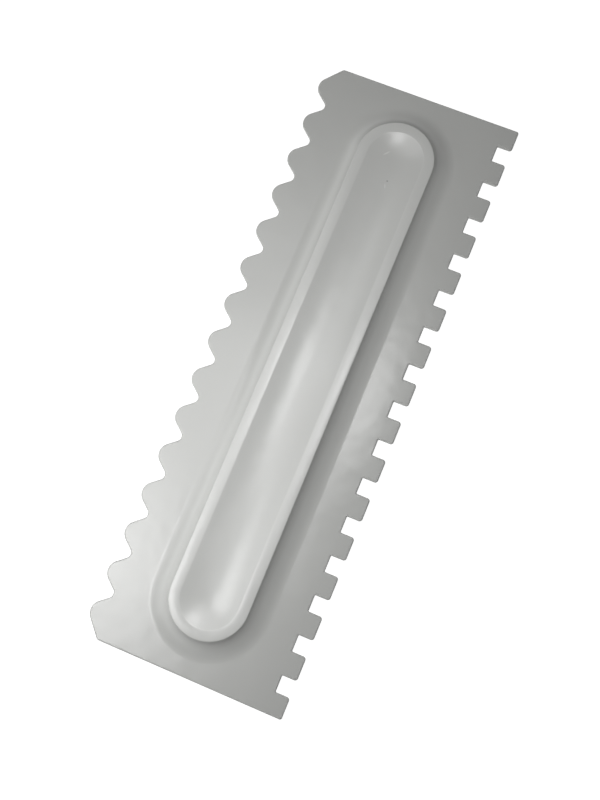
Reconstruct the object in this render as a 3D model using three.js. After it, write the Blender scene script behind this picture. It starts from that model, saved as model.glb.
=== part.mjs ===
// Icing comb scraper: one thin plastic moulding with a wave comb along one long edge, a square comb
// along the other, and a raised, cored-out grip down the middle that is dished for the thumb.
// Sizes are millimetres. The origin lies on the back of the sheet under its centre. X runs across,
// towards the square comb, Y runs along the sheet and Z points up to the grip side.

import * as THREE from "three";
import { mergeVertices } from "three/addons/utils/BufferGeometryUtils.js";

// Sheet: overall length, width from comb tips to comb tips, and the wall that the moulding keeps
const LENGTH = 228;
const WIDTH = 76.4;
const WALL = 1.6;

// Band of solid sheet that stays with each comb, behind its roots
const COMB_BAND = 3;

// Wave comb: round lobes joined by straight flanks and smaller round valleys
const LOBE_COUNT = 15;
const LOBE_PITCH = 15;
const LOBE_DEPTH = 5.35;
const LOBE_RADIUS = 4.4;
const VALLEY_RADIUS = 2.05;
const END_FLANK_DEPTH = 6.5;

// Square comb: flat teeth with rounded tips and almost sharp roots
const NOTCH_COUNT = 15;
const NOTCH_PITCH = 14.72;
const NOTCH_WIDTH = 6.04;
const NOTCH_DEPTH = 5.4;
const TIP_RADIUS = 1.1;
const ROOT_RADIUS = 0.35;

// Outer corners of the sheet
const CORNER_RADIUS = 0.8;

// Grip: a long loop of raised rim, round at both ends, flaring down to the sheet outside
const RIM_LENGTH = 200.3;
const RIM_WIDTH = 28.7;
const RIM_LAND = 3.4;
const RIM_HEIGHT = 4.6;
const RIM_ROUND = 0.7;
const FLARE_RADIUS = 8.6;

// Thumb trough: a shallow dish inside the rim, whose middle strip is a piece of its own
const TROUGH_DEPTH = 1.1;
const TROUGH_STRIP = 12;

// Steps of the rounded shapes
const TURN_STEPS = 48;
const ARC_STEPS = 4;
const SECTION_STEPS = 4;

// Moulded plastic, off-white with a satin skin
const PLASTIC = { color: 0xd2d2ce, roughness: 0.25, metalness: 0 };

const half = (size) => size / 2;
const DOWN = -Math.PI / 2;
const UP = Math.PI / 2;

// Half the straight run of the grip: its two end turns are centred this far from the middle
const GRIP_RUN = half(RIM_LENGTH - RIM_WIDTH);

// Rim section, with x measured out from the grip's centre line and y up from the sheet's back
const RIM_TOP = WALL + RIM_HEIGHT;
const ROUND_LEVEL = RIM_TOP - RIM_ROUND;
const CEILING = RIM_TOP - WALL;

// The flare is an arc that leaves the sheet level and ends near upright at the rim's outer corner
const FLARE_LEVEL = WALL + FLARE_RADIUS;
const FLARE_REACH = Math.sqrt(FLARE_RADIUS ** 2 - (FLARE_LEVEL - RIM_TOP) ** 2);
const FLARE_FOOT = half(RIM_WIDTH) + FLARE_REACH;

// The trough is an arc from rim to rim, with its centre high above the grip
const TROUGH_EDGE = half(RIM_WIDTH) - RIM_LAND;
const TROUGH_RADIUS = (TROUGH_EDGE ** 2 + TROUGH_DEPTH ** 2) / (2 * TROUGH_DEPTH);
const TROUGH_LEVEL = RIM_TOP - TROUGH_DEPTH + TROUGH_RADIUS;
const TROUGH_BACK = TROUGH_RADIUS + WALL;
const STRIP_EDGE = DOWN + Math.asin(half(TROUGH_STRIP) / TROUGH_RADIUS);

// A tangent line from a level start to an arc of the given radius: the angle it stands at
function flankAngle(along, depth, radius) {
  const rise = depth - radius;
  const flank = Math.sqrt(along ** 2 + rise ** 2 - radius ** 2);
  return Math.atan2(rise, along) + Math.atan2(radius, flank);
}

// Adds a straight run to a corner and rounds the corner off before the line to the next point
function roundCorner(path, corner, next, radius) {
  const arrive = corner.clone().sub(path.currentPoint).normalize();
  const leave = next.clone().sub(corner).normalize();
  const turn = Math.atan2(arrive.cross(leave), arrive.dot(leave));
  const side = Math.sign(turn);
  const setBack = radius * Math.tan(half(Math.abs(turn)));
  const start = corner.clone().addScaledVector(arrive, -setBack);
  const centre = new THREE.Vector2(
    start.x - side * radius * arrive.y,
    start.y + side * radius * arrive.x,
  );
  const from = Math.atan2(start.y - centre.y, start.x - centre.x);
  path.lineTo(start.x, start.y);
  path.absarc(centre.x, centre.y, radius, from, from + turn, side < 0);
}

// Welds a geometry into one closed skin and drops the triangles that have no area
function closedSkin(geometry) {
  geometry.deleteAttribute("normal");
  geometry.deleteAttribute("uv");
  const skin = mergeVertices(geometry);
  const corners = skin.index.array;
  const kept = [];
  for (let i = 0; i < corners.length; i += 3) {
    const [a, b, c] = corners.slice(i, i + 3);
    if (a !== b && b !== c && c !== a) {
      kept.push(a, b, c);
    }
  }
  skin.setIndex(kept);
  skin.computeVertexNormals();
  return skin;
}

// A flat piece of the sheet, from its back to its front
function flatPiece(outline) {
  const options = { depth: WALL, bevelEnabled: false, curveSegments: ARC_STEPS };
  return closedSkin(new THREE.ExtrudeGeometry(outline, options));
}

// Angle of one column of a turned section, half a step off the cross line so that none lies on it
function columnAngle(column) {
  return ((column % TURN_STEPS) + 0.5) * (2 * Math.PI / TURN_STEPS);
}

// The grip's loop at one distance from its centre line: two half turns and the straights between
function gripLoop(distance) {
  const loop = [];
  for (let column = 0; column < TURN_STEPS; column += 1) {
    const angle = columnAngle(column);
    const end = -Math.sign(Math.cos(angle));
    const point = new THREE.Vector2(Math.sin(angle), -Math.cos(angle));
    point.multiplyScalar(distance);
    point.y += end * GRIP_RUN;
    loop.push(point);
  }
  return loop;
}

// Turns a section about the upright axis, then parts the two half turns by the grip's straight run
function gripTurn(section) {
  const turned = new THREE.LatheGeometry(section, TURN_STEPS);
  const place = turned.getAttribute("position");
  const loops = section.map((point) => gripLoop(point.x));
  for (let i = 0; i < place.count; i += 1) {
    const column = Math.floor(i / section.length) % TURN_STEPS;
    const row = i % section.length;
    const spot = loops[row][column];
    place.setXYZ(i, spot.x, spot.y, section[row].y);
  }
  return closedSkin(turned);
}

// Flat sheet between the combs, with a window where the grip rises
function bladeShape() {
  const end = half(LENGTH);
  const waveSide = -half(WIDTH) + LOBE_DEPTH + COMB_BAND;
  const squareSide = half(WIDTH) - NOTCH_DEPTH - COMB_BAND;
  const blade = new THREE.Shape();
  blade.moveTo(waveSide, -end);
  blade.lineTo(squareSide, -end);
  blade.lineTo(squareSide, end);
  blade.lineTo(waveSide, end);
  blade.closePath();
  blade.holes.push(new THREE.Path(gripLoop(FLARE_FOOT)));
  return blade;
}

// Wave comb, drawn from its far end to its near end: each lobe is an arc that runs tangent into
// straight flanks, and each valley a smaller arc between two lobes
function waveCombShape() {
  const end = half(LENGTH);
  const tips = -half(WIDTH);
  const base = tips + LOBE_DEPTH + COMB_BAND;
  const lobeLine = tips + LOBE_RADIUS;
  const valleyLine = tips + LOBE_DEPTH - VALLEY_RADIUS;
  const firstLobe = -half((LOBE_COUNT - 1) * LOBE_PITCH);
  const lastLobe = -firstLobe;
  const flank = flankAngle(half(LOBE_PITCH), LOBE_DEPTH, LOBE_RADIUS + VALLEY_RADIUS);
  const endFlank = flankAngle(end - lastLobe, END_FLANK_DEPTH, LOBE_RADIUS);
  const endCorner = tips + END_FLANK_DEPTH;
  const flankEnd = LOBE_RADIUS * Math.sin(endFlank);
  const flankLine = lobeLine - LOBE_RADIUS * Math.cos(endFlank);

  const comb = new THREE.Shape();
  comb.moveTo(base, end);
  const farCorner = new THREE.Vector2(endCorner, end);
  roundCorner(comb, farCorner, new THREE.Vector2(flankLine, lastLobe + flankEnd), CORNER_RADIUS);
  for (let i = LOBE_COUNT - 1; i >= 0; i -= 1) {
    const lobe = firstLobe + i * LOBE_PITCH;
    const farFlank = i === LOBE_COUNT - 1 ? endFlank : flank;
    const nearFlank = i === 0 ? endFlank : flank;
    comb.absarc(lobeLine, lobe, LOBE_RADIUS, Math.PI - farFlank, Math.PI + nearFlank, false);
    if (i > 0) {
      const valley = lobe - half(LOBE_PITCH);
      comb.absarc(valleyLine, valley, VALLEY_RADIUS, flank, -flank, true);
    }
  }
  const nearCorner = new THREE.Vector2(endCorner, -end);
  roundCorner(comb, nearCorner, new THREE.Vector2(base, -end), CORNER_RADIUS);
  comb.lineTo(base, -end);
  comb.closePath();
  return comb;
}

// Square comb, drawn along the tips: every notch turns two tip corners and two root corners
function squareCombShape() {
  const end = half(LENGTH);
  const tips = half(WIDTH);
  const roots = tips - NOTCH_DEPTH;
  const base = roots - COMB_BAND;
  const firstNotch = -half((NOTCH_COUNT - 1) * NOTCH_PITCH);

  const corners = [{ x: tips, y: -end, radius: CORNER_RADIUS }];
  for (let i = 0; i < NOTCH_COUNT; i += 1) {
    const middle = firstNotch + i * NOTCH_PITCH;
    const near = middle - half(NOTCH_WIDTH);
    const far = middle + half(NOTCH_WIDTH);
    corners.push(
      { x: tips, y: near, radius: TIP_RADIUS },
      { x: roots, y: near, radius: ROOT_RADIUS },
      { x: roots, y: far, radius: ROOT_RADIUS },
      { x: tips, y: far, radius: TIP_RADIUS },
    );
  }
  corners.push({ x: tips, y: end, radius: CORNER_RADIUS });

  const comb = new THREE.Shape();
  comb.moveTo(base, -end);
  corners.forEach((corner, i) => {
    const next = corners[i + 1] ?? { x: base, y: end };
    const here = new THREE.Vector2(corner.x, corner.y);
    roundCorner(comb, here, new THREE.Vector2(next.x, next.y), corner.radius);
  });
  comb.lineTo(base, end);
  comb.closePath();
  return comb;
}

// Wall of the grip in section: up the flare, over the rounded rim, down the side of the trough, and
// back along the cored underside
function gripRimSection() {
  const level = FLARE_LEVEL - ROUND_LEVEL;
  const outerRound = FLARE_FOOT - Math.sqrt((FLARE_RADIUS + RIM_ROUND) ** 2 - level ** 2);
  const drop = TROUGH_LEVEL - ROUND_LEVEL;
  const innerRound = Math.sqrt((TROUGH_RADIUS + RIM_ROUND) ** 2 - drop ** 2);
  const toFlare = Math.atan2(level, FLARE_FOOT - outerRound);
  const toTrough = Math.atan2(drop, -innerRound);
  const troughTop = Math.asin((CEILING - TROUGH_LEVEL) / TROUGH_BACK);
  const flareBack = FLARE_RADIUS + WALL;
  const ceilingAngle = Math.PI + Math.asin((FLARE_LEVEL - CEILING) / flareBack);

  const wall = new THREE.Path();
  wall.absarc(FLARE_FOOT, FLARE_LEVEL, FLARE_RADIUS, DOWN, toFlare - Math.PI, true);
  wall.absarc(outerRound, ROUND_LEVEL, RIM_ROUND, toFlare, UP, false);
  wall.absarc(innerRound, ROUND_LEVEL, RIM_ROUND, UP, toTrough, false);
  wall.absarc(0, TROUGH_LEVEL, TROUGH_RADIUS, toTrough - Math.PI, STRIP_EDGE, true);
  wall.absarc(0, TROUGH_LEVEL, TROUGH_BACK, STRIP_EDGE, troughTop, false);
  wall.absarc(FLARE_FOOT, FLARE_LEVEL, flareBack, ceilingAngle, DOWN + 2 * Math.PI, false);
  const points = wall.getPoints(SECTION_STEPS);
  return [...points, points[0].clone()];
}

// Middle strip of the trough in section: along its underside from the centre line out to its edge,
// and back over its top
function thumbTroughSection() {
  const wall = new THREE.Path();
  wall.absarc(0, TROUGH_LEVEL, TROUGH_BACK, DOWN, STRIP_EDGE, false);
  wall.absarc(0, TROUGH_LEVEL, TROUGH_RADIUS, STRIP_EDGE, DOWN, true);
  return wall.getPoints(SECTION_STEPS);
}

function piece(name, geometry) {
  const mesh = new THREE.Mesh(geometry, new THREE.MeshStandardMaterial(PLASTIC));
  mesh.name = name;
  return mesh;
}

const scraper = new THREE.Group();
scraper.add(piece("blade", flatPiece(bladeShape())));
scraper.add(piece("wave_comb", flatPiece(waveCombShape())));
scraper.add(piece("square_comb", flatPiece(squareCombShape())));
scraper.add(piece("grip_rim", gripTurn(gripRimSection())));
scraper.add(piece("thumb_trough", gripTurn(thumbTroughSection())));

export default scraper;
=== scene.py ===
import math

import bmesh
import bpy
from mathutils import Matrix, Vector


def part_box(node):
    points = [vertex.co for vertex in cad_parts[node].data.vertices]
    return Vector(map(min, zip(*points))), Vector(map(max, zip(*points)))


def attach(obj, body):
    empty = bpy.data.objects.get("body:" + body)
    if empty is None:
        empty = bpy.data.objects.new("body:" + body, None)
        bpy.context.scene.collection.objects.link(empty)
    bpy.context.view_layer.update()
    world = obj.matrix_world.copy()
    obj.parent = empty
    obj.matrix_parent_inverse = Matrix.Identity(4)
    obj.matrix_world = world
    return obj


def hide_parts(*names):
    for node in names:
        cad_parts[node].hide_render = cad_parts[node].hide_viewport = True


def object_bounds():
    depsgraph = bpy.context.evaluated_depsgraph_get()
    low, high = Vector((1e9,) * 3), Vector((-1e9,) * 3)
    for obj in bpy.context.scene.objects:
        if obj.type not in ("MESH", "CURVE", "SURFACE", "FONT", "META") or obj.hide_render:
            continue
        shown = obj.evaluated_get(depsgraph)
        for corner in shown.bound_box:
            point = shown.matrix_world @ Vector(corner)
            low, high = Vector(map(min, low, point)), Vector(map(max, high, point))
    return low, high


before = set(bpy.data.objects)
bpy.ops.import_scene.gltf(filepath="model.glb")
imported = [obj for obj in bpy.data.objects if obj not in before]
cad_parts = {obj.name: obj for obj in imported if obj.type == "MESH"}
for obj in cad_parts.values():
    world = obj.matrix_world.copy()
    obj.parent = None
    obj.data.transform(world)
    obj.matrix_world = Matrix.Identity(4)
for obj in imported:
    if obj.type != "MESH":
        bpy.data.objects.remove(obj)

cad_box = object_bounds()

# Wave comb
# One long edge of the scraper, which is a single injection moulding of off-white polypropylene. Round
# lobes, straight flanks and smaller round valleys run into each other, as the mould's cutter left them.
MM = 0.001
TIPS = cad_box[1].x
LOBE_COUNT = 15
LOBE_PITCH = 15 * MM
LOBE_DEPTH = 5.35 * MM
LOBE_RADIUS = 4.4 * MM
VALLEY_RADIUS = 2.05 * MM
ARC_STEP = math.radians(7)
FEWEST_STEPS = 6


def arc(centre, radius, start, sweep):
    """Points along an arc, with both its ends."""
    steps = max(FEWEST_STEPS, math.ceil(abs(sweep) / ARC_STEP))
    angles = [start + sweep * i / steps for i in range(steps + 1)]
    return [(centre[0] + radius * math.cos(a), centre[1] + radius * math.sin(a)) for a in angles]


def flank_angle(along, depth, radius):
    """The slope of the straight flank that runs tangent from one round to the next."""
    rise = depth - radius
    flank = math.sqrt(along ** 2 + rise ** 2 - radius ** 2)
    return math.atan2(rise, along) + math.atan2(radius, flank)


def drawn_line(name, points, closed=False):
    """A line, as an object that a geometry tree can repeat or sweep."""
    count = len(points)
    edges = [(i, (i + 1) % count) for i in range(count if closed else count - 1)]
    mesh = bpy.data.meshes.new(name)
    mesh.from_pydata([(x, y, 0) for x, y in points], edges, [])
    return bpy.data.objects.new(name, mesh)


lobe_line = LOBE_RADIUS - TIPS
valley_line = LOBE_DEPTH - VALLEY_RADIUS - TIPS
flank = flank_angle(LOBE_PITCH / 2, LOBE_DEPTH, LOBE_RADIUS + VALLEY_RADIUS)
last_lobe = (LOBE_COUNT - 1) / 2 * LOBE_PITCH

# One valley, from the tip of one lobe to the tip of the next
valley = drawn_line(
    "valley",
    arc((lobe_line, LOBE_PITCH / 2), LOBE_RADIUS, math.pi, flank)
    + arc((valley_line, 0), VALLEY_RADIUS, flank, -2 * flank)
    + arc((lobe_line, -LOBE_PITCH / 2), LOBE_RADIUS, math.pi - flank, flank),
)

# Square comb
# The other long edge of the moulding: flat teeth that draw square ridges in icing. The tips are
# rounded, so that they don't tear a cake, and the roots are almost sharp.
NOTCH_COUNT = 15
NOTCH_PITCH = 14.72 * MM
NOTCH_WIDTH = 6.04 * MM
NOTCH_DEPTH = 5.4 * MM
TIP_RADIUS = 1.1 * MM
ROOT_RADIUS = 0.35 * MM


def rounded_run(start, corners, finish):
    """Straight lines from start to finish by way of corners, each an x, a y and a radius."""
    stops = [Vector(start)] + [Vector(corner[:2]) for corner in corners] + [Vector(finish)]
    points = [start]
    for before, corner, after, (x, y, radius) in zip(stops, stops[1:], stops[2:], corners):
        arrive = (corner - before).normalized()
        leave = (after - corner).normalized()
        turn = math.atan2(arrive.x * leave.y - arrive.y * leave.x, arrive.dot(leave))
        first = corner - arrive * radius * math.tan(abs(turn) / 2)
        centre = first + math.copysign(radius, turn) * Vector((-arrive.y, arrive.x))
        points += arc(centre, radius, math.atan2(first.y - centre.y, first.x - centre.x), turn)
    return points + [finish]


notch_side = NOTCH_WIDTH / 2
roots = TIPS - NOTCH_DEPTH
last_notch = (NOTCH_COUNT - 1) / 2 * NOTCH_PITCH

# One notch, from the middle of one tooth to the middle of the next
notch = drawn_line("notch", rounded_run(
    (TIPS, -NOTCH_PITCH / 2),
    [
        (TIPS, -notch_side, TIP_RADIUS),
        (roots, -notch_side, ROOT_RADIUS),
        (roots, notch_side, ROOT_RADIUS),
        (TIPS, notch_side, TIP_RADIUS),
    ],
    (TIPS, NOTCH_PITCH / 2),
))

# Blade
# The flat sheet that carries both combs, one wall thick with two straight ends. Where the mould's
# halves meet round its outline, the edge is eased on the front and on the back.
END = cad_box[1].y
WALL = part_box("blade")[1].z
END_FLANK_DEPTH = 6.5 * MM
CORNER_RADIUS = 0.8 * MM
WAVE_CORNER_RADIUS = 1.6 * MM
EDGE_ROUND = 0.5 * MM
EDGE_LAND = 0.25 * MM

# One end, from the tip of the last lobe round both corners to the middle of the last tooth
end_flank = flank_angle(END - last_lobe, END_FLANK_DEPTH, LOBE_RADIUS)
end_lobe = arc((lobe_line, last_lobe), LOBE_RADIUS, math.pi, -end_flank)
sheet_end = drawn_line("sheet_end", end_lobe[:-1] + rounded_run(
    end_lobe[-1],
    [(END_FLANK_DEPTH - TIPS, END, WAVE_CORNER_RADIUS), (TIPS, END, CORNER_RADIUS)],
    (TIPS, last_notch + NOTCH_PITCH / 2),
))

# The eased edge in section, with x measured out from the outline. A section is swept with y down.
edge_inset = EDGE_ROUND + EDGE_LAND
edge_section = drawn_line(
    "edge_section",
    [(-edge_inset, -WALL)]
    + arc((-EDGE_ROUND, EDGE_ROUND - WALL), EDGE_ROUND, -math.pi / 2, math.pi / 2)
    + arc((-EDGE_ROUND, -EDGE_ROUND), EDGE_ROUND, 0, math.pi / 2)
    + [(-edge_inset, 0)],
)

# Grip
# A long loop raised from the sheet in the same wall: it flares up, turns over a narrow rim and sinks
# into a shallow dish for the thumb. The back follows it, so that no part of the moulding is thick.
RIM_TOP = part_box("grip_rim")[1].z
RIM_LENGTH = 200.3 * MM
RIM_WIDTH = 28.7 * MM
RIM_LAND = 3.4 * MM
RIM_ROUND = 0.45 * MM
RIM_CROWN = 0.05 * MM
FLARE_RADIUS = 8.6 * MM
TROUGH_DEPTH = 1.1 * MM
STATIONS = 40
TURN_STEPS = 61

grip_run = (RIM_LENGTH - RIM_WIDTH) / 2
flare_level = WALL + FLARE_RADIUS
flare_foot = RIM_WIDTH / 2 + math.sqrt(FLARE_RADIUS ** 2 - (flare_level - RIM_TOP) ** 2)
trough_edge = RIM_WIDTH / 2 - RIM_LAND
trough_radius = (trough_edge ** 2 + TROUGH_DEPTH ** 2) / (2 * TROUGH_DEPTH)
trough_level = RIM_TOP - TROUGH_DEPTH + trough_radius

# The loop that the grip's sections follow. Its turns are drawn from the middle of each step, so that
# every section stands square to the loop and they all meet at the middle of the turn.
rim_line = (RIM_WIDTH - RIM_LAND) / 2
places = [grip_run * (2 * i / STATIONS - 1) for i in range(1, STATIONS)]
turns = [math.pi * (i + 0.5) / TURN_STEPS for i in range(TURN_STEPS)]
half_loop = [(rim_line, y) for y in places]
half_loop += [(rim_line * math.cos(a), grip_run + rim_line * math.sin(a)) for a in turns]
grip_loop = drawn_line("grip_loop", half_loop + [(-x, -y) for x, y in half_loop], closed=True)


def grip_section(name, radius, base, top, dish):
    """One side of the grip's wall: the flare, a round, a faint crown, a round and the dish."""
    land = top - RIM_CROWN
    outer_drop = flare_level - land + RIM_ROUND
    outer = flare_foot - math.sqrt((radius + RIM_ROUND) ** 2 - outer_drop ** 2)
    lean = math.atan2(outer_drop, flare_foot - outer)
    inner_drop = trough_level - land + RIM_ROUND
    inner = math.sqrt((dish + RIM_ROUND) ** 2 - inner_drop ** 2)
    sink = math.atan2(inner_drop, -inner)
    span = (outer - inner) / 2
    bow = (span ** 2 + RIM_CROWN ** 2) / (2 * RIM_CROWN)
    tilt = math.asin(span / bow)
    points = (
        [(flare_foot + EDGE_LAND, base)]
        + arc((flare_foot, flare_level), radius, -math.pi / 2, lean - math.pi / 2)
        + arc((outer, land - RIM_ROUND), RIM_ROUND, lean, math.pi / 2 - tilt - lean)[1:]
        + arc((outer - span, top - bow), bow, math.pi / 2 - tilt, 2 * tilt)[1:-1]
        + arc((inner, land - RIM_ROUND), RIM_ROUND, math.pi / 2 + tilt, sink - math.pi / 2 - tilt)
        + arc((0, trough_level), dish, sink - math.pi, math.pi / 2 - sink)[1:]
    )
    return drawn_line(name, [(x - rim_line, -z) for x, z in points])


grip_front = grip_section("grip_front", FLARE_RADIUS, WALL, RIM_TOP, trough_radius)
grip_back = grip_section("grip_back", FLARE_RADIUS + WALL, 0, RIM_TOP - WALL, trough_radius + WALL)

# Plastic
# Natural polypropylene, injection moulded against a polished cavity: a milky off-white with a waxy gloss.
# The colour is painted lighter up the raised grip and lighter again on the rim, painted light for the light
# the raised parts catch.
SHEET_MILK = "#CBCCC9"
# Painted light: the grip is painted lighter than the sheet
GRIP_PAINTED_LIGHT = "#D8D9D6"
# Painted highlight: the rim is painted paler still
RIM_PAINTED_HIGHLIGHT = "#DEDFDC"
# Heights between which the painted lighter shade of the grip and the painted highlight of the rim come in
FLARE_PAINTED_LIGHT_HEIGHTS = (1.6 * MM, 3.2 * MM)
RIM_PAINTED_HIGHLIGHT_HEIGHTS = (6.06 * MM, 6.15 * MM)
# A scratch, a speck and a streak in the dish: x, y, length and width in mm, turn in degrees and shade
MARKS = (
    (-3.8, 87.4, 4.2, 0.9, 48, "#EDEEEB"),
    (0.4, 77.5, 0.9, 0.8, 0, "#A3A4A1"),
    (0.3, 75.4, 2.6, 0.8, 112, "#E8E9E6"),
)
MARK_CORE = 0.2
MARK_DEPTH = 1 * MM
CLOUD_SIZE = 28 * MM
CLOUD_DETAIL = 3
CLOUD_TINT = "#F9F9F9"
GLOSS = (0.17, 0.2)
WAVE_SIZE = 7 * MM
WAVE_DEPTH = 0.08 * MM
WAVE_DETAIL = 1
BOW_START = 23 * MM
BOW_RADIUS = 270 * MM
GRAIN_SIZE = 0.6 * MM
GRAIN_DEPTH = 0.0012 * MM
GRAIN_DETAIL = 2
REFRACTION = 1.49


def linear(code):
    """An sRGB hex colour as linear red, green and blue, with full alpha."""
    levels = [int(code[i:i + 2], 16) / 255 for i in (1, 3, 5)]
    return tuple(c / 12.92 if c <= 0.04045 else ((c + 0.055) / 1.055) ** 2.4 for c in levels) + (1,)


def add_node(tree, kind, settings=None, inputs=None, output=None):
    """Adds a node with its settings, values and links, and gives back one of its outputs."""
    node = tree.nodes.new(kind)
    for name, value in (settings or {}).items():
        setattr(node, name, value)
    for label, value in (inputs or {}).items():
        socket = next(s for s in node.inputs if label in (s.identifier, s.name))
        for item in value if isinstance(value, list) else [value]:
            if isinstance(item, bpy.types.NodeSocket):
                tree.links.new(item, socket)
            else:
                socket.default_value = item
    found = [s for s in node.outputs if output in (None, s.identifier, s.name)]
    return found[0] if found else None


plastic = bpy.data.materials.new("waxy_polypropylene")
plastic.use_nodes = True
skin = plastic.node_tree
skin.nodes.clear()
place = add_node(skin, "ShaderNodeTexCoord", output="Object")
axes = add_node(skin, "ShaderNodeSeparateXYZ", inputs={"Vector": place}).node.outputs


def shaded(under, shade, value, start, end):
    """A colour that gives way softly to a shade, as a value goes from start to end."""
    share = add_node(skin, "ShaderNodeMapRange", {"interpolation_type": "SMOOTHSTEP"}, {
        "Value": value,
        "From Min": start,
        "From Max": end,
    })
    return add_node(skin, "ShaderNodeMix", {"data_type": "RGBA"}, {
        "Factor_Float": share,
        "A_Color": under,
        "B_Color": linear(shade),
    }, "Result_Color")


# The sheet's shade gives way to a painted lighter shade up the flare, and the rim gets a painted highlight
milk_and_painted_light = shaded(linear(SHEET_MILK), GRIP_PAINTED_LIGHT, axes["Z"], *FLARE_PAINTED_LIGHT_HEIGHTS)
milk_and_painted_light = shaded(milk_and_painted_light, RIM_PAINTED_HIGHLIGHT, axes["Z"], *RIM_PAINTED_HIGHLIGHT_HEIGHTS)
for x, y, length, width, turn, shade in MARKS:
    spot = add_node(skin, "ShaderNodeMapping", {"vector_type": "TEXTURE"}, {
        "Vector": place,
        "Location": (x * MM, y * MM, RIM_TOP - TROUGH_DEPTH),
        "Rotation": (0, 0, math.radians(turn)),
        "Scale": (length / 2 * MM, width / 2 * MM, MARK_DEPTH),
    })
    away = add_node(skin, "ShaderNodeVectorMath", {"operation": "LENGTH"}, {"Vector": spot}, "Value")
    milk_and_painted_light = shaded(milk_and_painted_light, shade, away, 1, MARK_CORE)

# Faint clouds in the plastic, which take a little of its shade and of its gloss
cloud = add_node(skin, "ShaderNodeTexNoise", inputs={
    "Vector": place,
    "Scale": 1 / CLOUD_SIZE,
    "Detail": CLOUD_DETAIL,
})
cloudy = add_node(skin, "ShaderNodeMix", {"data_type": "RGBA", "blend_type": "MULTIPLY"}, {
    "Factor_Float": cloud,
    "A_Color": milk_and_painted_light,
    "B_Color": linear(CLOUD_TINT),
}, "Result_Color")
gloss = add_node(skin, "ShaderNodeMapRange", inputs={"Value": cloud, "To Min": GLOSS[0], "To Max": GLOSS[1]})

# The gloss wavers as a moulding's does: it falls off towards the square comb as on a sheet that bows by
# four tenths of a millimetre, and shrinkage leaves low waves and a grain, drawn coarser than the real one
past = add_node(skin, "ShaderNodeMapRange", inputs={
    "Value": axes["X"],
    "From Min": BOW_START,
    "From Max": TIPS,
    "To Max": TIPS - BOW_START,
})
square = add_node(skin, "ShaderNodeMath", {"operation": "MULTIPLY"}, {"Value": past, "Value_001": past})
relief = add_node(skin, "ShaderNodeMath", {"operation": "DIVIDE"}, {
    "Value": square,
    "Value_001": -2 * BOW_RADIUS,
})
for size, depth, detail in ((WAVE_SIZE, WAVE_DEPTH, WAVE_DETAIL), (GRAIN_SIZE, GRAIN_DEPTH, GRAIN_DETAIL)):
    pattern = add_node(skin, "ShaderNodeTexNoise", inputs={
        "Vector": place,
        "Scale": 1 / size,
        "Detail": detail,
    })
    relief = add_node(skin, "ShaderNodeMath", {"operation": "MULTIPLY_ADD"}, {
        "Value": pattern,
        "Value_001": depth,
        "Value_002": relief,
    })
leaning = add_node(skin, "ShaderNodeBump", inputs={"Strength": 1, "Distance": 1, "Height": relief})
surface = add_node(skin, "ShaderNodeBsdfPrincipled", inputs={
    "Base Color": cloudy,
    "Roughness": gloss,
    "IOR": REFRACTION,
    "Normal": leaning,
})
add_node(skin, "ShaderNodeOutputMaterial", inputs={"Surface": surface})

# Moulding
# Combs, blade and grip are one skin of plastic with no seam between them. The comb cells are repeated
# down both sides, the edge and the grip are swept, and the flat sheet fills what lies between.
WELD = 0.02 * MM
sizes = {
    "Wall": ("Float", WALL),
    "Valley": ("Object", valley),
    "Valley count": ("Int", LOBE_COUNT - 1),
    "Valley start": ("Vector", (0, LOBE_PITCH / 2 - last_lobe, 0)),
    "Valley step": ("Vector", (0, LOBE_PITCH, 0)),
    "Notch": ("Object", notch),
    "Notch count": ("Int", NOTCH_COUNT),
    "Notch start": ("Vector", (0, -last_notch, 0)),
    "Notch step": ("Vector", (0, NOTCH_PITCH, 0)),
    "Sheet end": ("Object", sheet_end),
    "Edge section": ("Object", edge_section),
    "Grip loop": ("Object", grip_loop),
    "Grip front": ("Object", grip_front),
    "Grip back": ("Object", grip_back),
    "Plastic": ("Material", plastic),
}
tree = bpy.data.node_groups.new("moulding", "GeometryNodeTree")
tree.interface.new_socket("Skin", in_out="OUTPUT", socket_type="NodeSocketGeometry")
for label, (kind, _) in sizes.items():
    tree.interface.new_socket(label, in_out="INPUT", socket_type="NodeSocket" + kind)
given = tree.nodes.new("NodeGroupInput").outputs
lines = {
    label: add_node(tree, "GeometryNodeObjectInfo", inputs={"Object": given[label]}, output="Geometry")
    for label, (kind, _) in sizes.items() if kind == "Object"
}


def welded(parts):
    """Several parts as one, with the points that meet made one point."""
    whole = add_node(tree, "GeometryNodeJoinGeometry", inputs={"Geometry": parts})
    return add_node(tree, "GeometryNodeMergeByDistance", inputs={"Geometry": whole, "Distance": WELD})


def comb_row(cell):
    """Copies of a comb cell, one pitch apart."""
    points = add_node(tree, "GeometryNodeMeshLine", {"mode": "OFFSET"}, {
        "Count": given[cell + " count"],
        "Start Location": given[cell + " start"],
        "Offset": given[cell + " step"],
    })
    copies = add_node(tree, "GeometryNodeInstanceOnPoints", inputs={
        "Points": points,
        "Instance": lines[cell],
    })
    return add_node(tree, "GeometryNodeRealizeInstances", inputs={"Geometry": copies})


def swept(line, section):
    """A section drawn along a level line."""
    curve = add_node(tree, "GeometryNodeMeshToCurve", inputs={"Mesh": line})
    level = add_node(tree, "GeometryNodeSetCurveNormal", {"mode": "Z_UP"}, {"Curve": curve})
    profile = add_node(tree, "GeometryNodeMeshToCurve", inputs={"Mesh": lines[section]})
    return add_node(tree, "GeometryNodeCurveToMesh", inputs={"Curve": level, "Profile Curve": profile})


far_end = lines["Sheet end"]
near_end = add_node(tree, "GeometryNodeTransform", inputs={"Geometry": far_end, "Scale": (1, -1, 1)})
outline = welded([comb_row("Valley"), comb_row("Notch"), far_end, near_end])
edge_and_grip = welded([
    swept(outline, "Edge section"),
    swept(lines["Grip loop"], "Grip front"),
    swept(lines["Grip loop"], "Grip back"),
])

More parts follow.
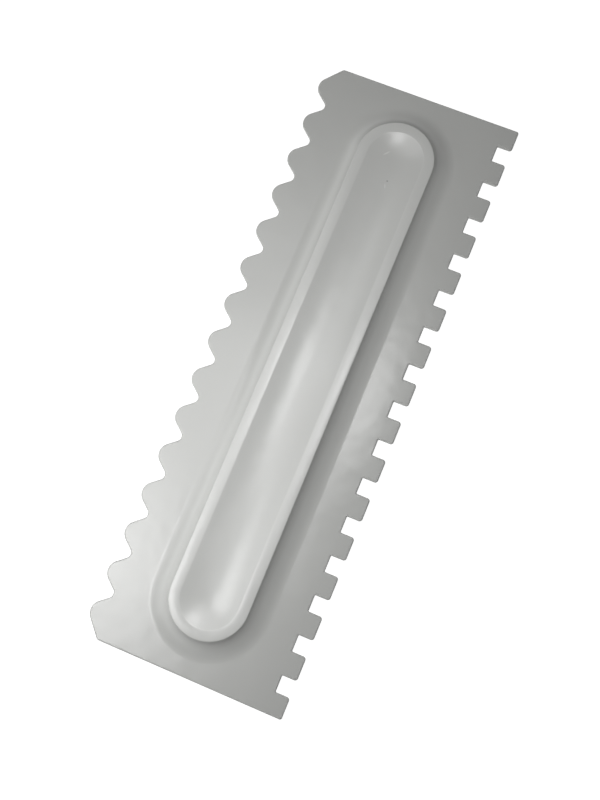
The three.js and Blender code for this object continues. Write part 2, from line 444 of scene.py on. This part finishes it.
# The flat sheet fills the borders that the sweeps leave open, at the front's height and at the back's
faces = add_node(tree, "GeometryNodeInputMeshEdgeNeighbors")
border = add_node(tree, "FunctionNodeCompare", {"data_type": "INT", "operation": "EQUAL"}, {
    "A_INT": faces,
    "B_INT": 1,
})
height = add_node(tree, "ShaderNodeSeparateXYZ", inputs={
    "Vector": add_node(tree, "GeometryNodeInputPosition"),
}, output="Z")
half_wall = add_node(tree, "ShaderNodeMath", {"operation": "MULTIPLY"}, {
    "Value": given["Wall"],
    "Value_001": 0.5,
})
front = add_node(tree, "FunctionNodeCompare", {"operation": "GREATER_THAN"}, {"A": height, "B": half_wall})
front_lift = add_node(tree, "ShaderNodeCombineXYZ", inputs={"Z": given["Wall"]})


def sheet_face(side, lift):
    """The flat face of the sheet on one side, front borders being taken or left out."""
    chosen = add_node(tree, "FunctionNodeBooleanMath", {"operation": side}, {
        "Boolean": border,
        "Boolean_001": front,
    })
    rims = add_node(tree, "GeometryNodeMeshToCurve", inputs={"Mesh": edge_and_grip, "Selection": chosen})
    flat = add_node(tree, "GeometryNodeFillCurve", {"mode": "TRIANGLES"}, {"Curve": rims})
    return add_node(tree, "GeometryNodeTransform", inputs={"Geometry": flat, "Translation": lift})


closed = welded([edge_and_grip, sheet_face("AND", front_lift), sheet_face("NIMPLY", (0, 0, 0))])
smooth = add_node(tree, "GeometryNodeSetShadeSmooth", inputs={"Geometry": closed})
whole = add_node(tree, "GeometryNodeRealizeInstances", inputs={"Geometry": smooth})
finished = add_node(tree, "GeometryNodeSetMaterial", inputs={
    "Geometry": whole,
    "Material": given["Plastic"],
})
add_node(tree, "NodeGroupOutput", inputs={"Skin": finished})

scraper = bpy.data.objects.new("scraper_moulding", bpy.data.meshes.new("carrier"))
bpy.context.scene.collection.objects.link(scraper)
modifier = scraper.modifiers.new("moulding", "NODES")
modifier.node_group = tree
for socket in tree.interface.items_tree:
    if socket.in_out == "INPUT":
        modifier[socket.identifier] = sizes[socket.name][1]
mesh = bpy.data.meshes.new_from_object(scraper.evaluated_get(bpy.context.evaluated_depsgraph_get()))
scraper.modifiers.remove(modifier)
scraper.data = mesh
for kind, line in sizes.values():
    if kind == "Object":
        bpy.data.objects.remove(line)

# Faces made by different sweeps are turned to point outwards together
shell = bmesh.new()
shell.from_mesh(mesh)
bmesh.ops.recalc_face_normals(shell, faces=shell.faces)
shell.to_mesh(mesh)
shell.free()

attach(scraper, "root")
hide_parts("blade", "wave_comb", "square_comb", "grip_rim", "thumb_trough")

# Floor
# A plain white table top that the scraper lies on, lit through a little from beneath. It shows as white
# to the camera and in gloss and keeps the soft shadow. From below it isn't there, so that the back can
# be seen.
FLOOR_SIZE = 3000 * MM
FLOOR_DROP = 0.05 * MM
# The paint is a middle grey, because the floor's own glow makes up the rest of its white
FLOOR_PAINT = "#8C8C8C"
FLOOR_GLOW = 0.3
SEEN_GLOW = 0.68


def seen_rays(tree):
    """1 for the rays that show a background: the camera's own, and those that gloss and glass send on."""
    rays = add_node(tree, "ShaderNodeLightPath").node.outputs
    seen = rays["Is Camera Ray"]
    for kind in ("Is Glossy Ray", "Is Transmission Ray"):
        seen = add_node(tree, "ShaderNodeMath", {"operation": "MAXIMUM"}, {
            "Value": seen,
            "Value_001": rays[kind],
        })
    return seen


table = bpy.data.materials.new("white_laminate")
table.use_nodes = True
stage = table.node_tree
stage.nodes.clear()
strength = add_node(stage, "ShaderNodeMath", {"operation": "MULTIPLY_ADD"}, {
    "Value": seen_rays(stage),
    "Value_001": SEEN_GLOW,
    "Value_002": FLOOR_GLOW,
})
glow = add_node(stage, "ShaderNodeEmission", inputs={"Strength": strength})
matte = add_node(stage, "ShaderNodeBsdfDiffuse", inputs={"Color": linear(FLOOR_PAINT)})
lit = add_node(stage, "ShaderNodeAddShader", inputs={"Shader": glow, "Shader_001": matte})
below = add_node(stage, "ShaderNodeNewGeometry", output="Backfacing")
clear = add_node(stage, "ShaderNodeBsdfTransparent")
laminate = add_node(stage, "ShaderNodeMixShader", inputs={
    "Fac": below,
    "Shader": lit,
    "Shader_001": clear,
})
add_node(stage, "ShaderNodeOutputMaterial", inputs={"Surface": laminate})

reach = FLOOR_SIZE / 2
floor_mesh = bpy.data.meshes.new("floor")
corners = [(-reach, -reach), (reach, -reach), (reach, reach), (-reach, reach)]
floor_mesh.from_pydata([(x, y, -FLOOR_DROP) for x, y in corners], [], [(0, 1, 2, 3)])
floor_mesh.materials.append(table)
floor = bpy.data.objects.new("floor", floor_mesh)
bpy.context.scene.collection.objects.link(floor)

# Light
# A pale room with a window to the left: a slanting run of bright panes far off, and close by on the left
# a broad soft lamp overhead and a lower one. The room shows white to the camera and in gloss, and gives
# little light of its own.
ROOM_PAINT = "#FFFFFF"
ROOM_GLOW = 0.05
SEEN_ROOM_GLOW = 1
# Each lamp's x, y, z and size in mm, and its watts
LAMPS = {
    "near_pane": (-335, -205, 1225, 230, 1.27),
    "left_pane": (-330, -20, 1240, 150, 0.21),
    "middle_pane": (-175, 100, 1275, 170, 0.28),
    "far_pane": (-65, 210, 1280, 170, 0.87),
    "top_pane": (-325, 290, 1220, 300, 0.54),
    "left_over": (-70, -30, 180, 150, 0.1),
    "left_low": (-120, -70, 120, 180, 0.139),
}

world = bpy.data.worlds.new("room")
world.use_nodes = True
room = world.node_tree
room.nodes.clear()
walls = [
    add_node(room, "ShaderNodeBackground", inputs={"Color": linear(ROOM_PAINT), "Strength": level})
    for level in (ROOM_GLOW, SEEN_ROOM_GLOW)
]
sky = add_node(room, "ShaderNodeMixShader", inputs={
    "Fac": seen_rays(room),
    "Shader": walls[0],
    "Shader_001": walls[1],
})
add_node(room, "ShaderNodeOutputWorld", inputs={"Surface": sky})
bpy.context.scene.world = world
bpy.context.scene.view_settings.view_transform = "Standard"

# Each lamp is a square panel turned to the scraper, and the camera doesn't see it
for name, (x, y, z, size, watts) in LAMPS.items():
    panel = bpy.data.lights.new(name, "AREA")
    panel.size = size * MM
    panel.energy = watts
    lamp = bpy.data.objects.new(name, panel)
    lamp.location = Vector((x, y, z)) * MM
    lamp.rotation_euler = (-lamp.location).to_track_quat("-Z", "Y").to_euler()
    lamp.visible_camera = False
    bpy.context.scene.collection.objects.link(lamp)

# Camera
# The photograph's own view: from above, a little to the near right, with the sheet leaning right. It was
# worked out from the pitches of both combs and the straight ends. The focal length is in millimetres.
CAMERA_PLACE = Vector((52.47, -66.02, 401.63)) * MM
CAMERA_AIM = Vector((1.56, -9.04, 1.6)) * MM
CAMERA_LEAN = math.radians(22.78)
FOCAL_LENGTH = 51.2
NEAREST_SEEN = 1 * MM

forward = (CAMERA_AIM - CAMERA_PLACE).normalized()
along = Vector((0, 1, 0))
along = (along - along.dot(forward) * forward).normalized()
across = forward.cross(along)
right = across * math.cos(CAMERA_LEAN) + along * math.sin(CAMERA_LEAN)
up = along * math.cos(CAMERA_LEAN) - across * math.sin(CAMERA_LEAN)
lens = bpy.data.cameras.new("camera")
lens.lens = FOCAL_LENGTH
lens.clip_start = NEAREST_SEEN
camera = bpy.data.objects.new("camera", lens)
camera.matrix_world = Matrix.Translation(CAMERA_PLACE) @ Matrix((right, up, -forward)).transposed().to_4x4()
bpy.context.scene.collection.objects.link(camera)
bpy.context.scene.camera = camera
